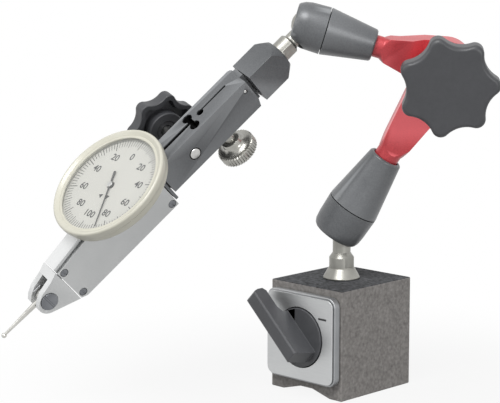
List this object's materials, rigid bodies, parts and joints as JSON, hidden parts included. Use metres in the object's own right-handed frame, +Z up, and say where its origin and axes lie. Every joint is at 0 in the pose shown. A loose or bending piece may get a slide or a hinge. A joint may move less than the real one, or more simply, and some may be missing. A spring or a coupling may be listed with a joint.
{
  "type": "magnetic dial indicator stand",
  "caption": "Small magnetic-base stand: two tapered arms joined by a star-knob elbow on ball joints, with a fine-adjusting clamp that carries a lever-type dial test indicator.",
  "frame": {"origin": "middle of the underside of the magnetic base", "axes": "+Z up out of the base along the lower stud, -Y out of the switch face, +X to the right seen from the switch"},
  "size_m": [0.11, 0.1245, 0.1232],
  "materials": {
    "hammertone_paint": "fine grey hammertone enamel",
    "brass": "plain machined",
    "magnet": "dark, ground",
    "switch_plastic": "fine matt grain, dark grey",
    "backing_metal": "matt grey anodised",
    "plate_metal": "fine brushed silver",
    "stainless": "turned, bright",
    "steel": "turned, plain",
    "dark_anodised": "satin dark grey anodised, fine turning lines",
    "red_anodised": "satin red anodised, fine turning lines",
    "knob_plastic": "moulded, slight sheen, dark grey",
    "satin_chrome": "satin chrome",
    "bezel_cream": "smooth cream white",
    "dial_white": "printed off-white",
    "crystal": "clear, polished",
    "pointer_black": "black enamel"
  },
  "bodies": {
    "base": {"pole_left": "hammertone_paint", "pole_right": "hammertone_paint", "separator_upper": "brass", "separator_lower": "brass", "rear_plug": "steel", "backing_plate": "backing_metal", "face_plate": "plate_metal", "lower_stud": "stainless"},
    "switch": {"switch_lever": "switch_plastic", "magnet_rotor": "magnet"},
    "lower_ball": {"lower_ball": "steel"},
    "lower_cup": {"lower_pressure_cup": "brass"},
    "lower_arm": {"lower_cap": "dark_anodised", "lower_sleeve": "dark_anodised", "lower_push_rod": "steel", "lower_arm": "red_anodised", "elbow_clamp_cone": "steel", "elbow_washer": "steel"},
    "upper_arm": {"upper_arm": "red_anodised", "upper_push_rod": "steel", "upper_sleeve": "dark_anodised", "upper_cap": "dark_anodised", "upper_pressure_cup": "brass", "elbow_bolt": "steel"},
    "elbow_knob": {"elbow_knob": "knob_plastic", "elbow_knob_insert": "brass"},
    "upper_ball": {"upper_ball": "steel"},
    "stem": {"upper_stud": "stainless", "neck_block": "dark_anodised"},
    "clamp_block": {"clamp_block": "dark_anodised", "stop_pin": "steel", "clamp_bolt": "stainless"},
    "fine_screw": {"fine_adjust_screw": "stainless"},
    "clamp_knob": {"clamp_knob": "knob_plastic", "clamp_knob_insert": "brass"},
    "indicator": {"rear_dovetail": "dark_anodised", "indicator_case": "satin_chrome", "side_cover": "satin_chrome", "cover_screw_1": "steel", "cover_screw_2": "steel", "cover_screw_3": "steel", "nose_fork": "satin_chrome", "pivot_screw": "steel", "dial_seat": "satin_chrome"},
    "bezel": {"bezel": "bezel_cream", "dial_face": "dial_white", "crystal": "crystal"},
    "pointer": {"pointer": "pointer_black"},
    "measuring_lever": {"measuring_lever": "steel"},
    "crown_wheel": {"crown_wheel": "brass"},
    "stylus": {"stylus": "stainless", "stylus_ball": "steel"}
  },
  "joints": [
    {"name": "switch_turn", "type": "hinge", "parent": "base", "child": "switch", "pos_m": [0, -0.02, 0.0188], "axis": [0, 1, 0], "range_deg": [0, 90]},
    {"name": "lower_ball_spin", "type": "hinge", "parent": "base", "child": "lower_ball", "pos_m": [0, 0, 0.05265], "axis": [0, 0, 1], "continuous": true},
    {"name": "lower_tilt", "type": "hinge", "parent": "lower_ball", "child": "lower_cup", "pos_m": [0, 0, 0.05265], "axis": [-0.4802, 0.8771, 0], "range_deg": [-68.5, 3]},
    {"name": "lower_roll", "type": "hinge", "parent": "lower_cup", "child": "lower_arm", "pos_m": [0, 0, 0.05265], "axis": [0.4764, 0.2608, 0.8396], "range_deg": [-180, 180]},
    {"name": "elbow_hinge", "type": "hinge", "parent": "lower_arm", "child": "upper_arm", "pos_m": [0.02868, 0.0157, 0.1032], "axis": [0.6412, -0.7565, -0.1288], "range_deg": [-213, 1]},
    {"name": "elbow_knob_turn", "type": "hinge", "parent": "upper_arm", "child": "elbow_knob", "pos_m": [0.02868, 0.0157, 0.1032], "axis": [0.6412, -0.7565, -0.1288], "range_deg": [0, 360]},
    {"name": "upper_tilt", "type": "hinge", "parent": "upper_arm", "child": "upper_ball", "pos_m": [-0.00307, -0.01338, 0.11593], "axis": [-0.7065, 0.6629, -0.2479], "range_deg": [-6, 90]},
    {"name": "head_spin", "type": "hinge", "parent": "upper_ball", "child": "stem", "pos_m": [-0.00307, -0.01338, 0.11593], "axis": [-0.3572, -0.6364, -0.6837], "range_deg": [-180, 180]},
    {"name": "fine_flex", "type": "hinge", "parent": "stem", "child": "clamp_block", "pos_m": [-0.01318, -0.02969, 0.09844], "axis": [0.0256, -0.7384, 0.6739], "range_deg": [-1.2, 1.2]},
    {"name": "fine_screw_turn", "type": "hinge", "parent": "clamp_block", "child": "fine_screw", "pos_m": [-0.01738, -0.02959, 0.07794], "axis": [0.0256, -0.7384, 0.6739], "range_deg": [-360, 360]},
    {"name": "clamp_knob_turn", "type": "hinge", "parent": "clamp_block", "child": "clamp_knob", "pos_m": [-0.03598, -0.04332, 0.08363], "axis": [0.9337, -0.2232, -0.28], "range_deg": [0, 360]},
    {"name": "indicator_slide", "type": "slide", "parent": "clamp_block", "child": "indicator", "axis": [0.0256, -0.7384, 0.6739], "range_m": [0, 0.008]},
    {"name": "bezel_turn", "type": "hinge", "parent": "indicator", "child": "bezel", "pos_m": [-0.03073, -0.06892, 0.06799], "axis": [0.0256, -0.7384, 0.6739], "continuous": true},
    {"name": "pointer_turn", "type": "hinge", "parent": "indicator", "child": "pointer", "pos_m": [-0.03073, -0.06892, 0.06799], "axis": [0.0256, -0.7384, 0.6739], "range_deg": [-265, 265]},
    {"name": "lever_swing", "type": "hinge", "parent": "indicator", "child": "measuring_lever", "pos_m": [-0.04448, -0.08585, 0.03564], "axis": [0.9337, -0.2232, -0.28], "range_deg": [-0.5, 0.5], "stiffness_Nm_per_rad": 0.005},
    {"name": "crown_wheel_turn", "type": "hinge", "parent": "indicator", "child": "crown_wheel", "pos_m": [-0.03276, -0.06498, 0.05807], "axis": [0.9337, -0.2232, -0.28], "range_deg": [-32, 32]},
    {"name": "stylus_swivel", "type": "hinge", "parent": "measuring_lever", "child": "stylus", "pos_m": [-0.04448, -0.08585, 0.03564], "axis": [0.9337, -0.2232, -0.28], "range_deg": [-105, 105]}
  ],
  "couplings": [
    {"joint": "fine_flex", "follows": "fine_screw_turn", "ratio": 0.0033},
    {"joint": "lever_swing", "follows": "pointer_turn", "ratio": 0.00188},
    {"joint": "crown_wheel_turn", "follows": "pointer_turn", "ratio": 0.12}
  ]
}
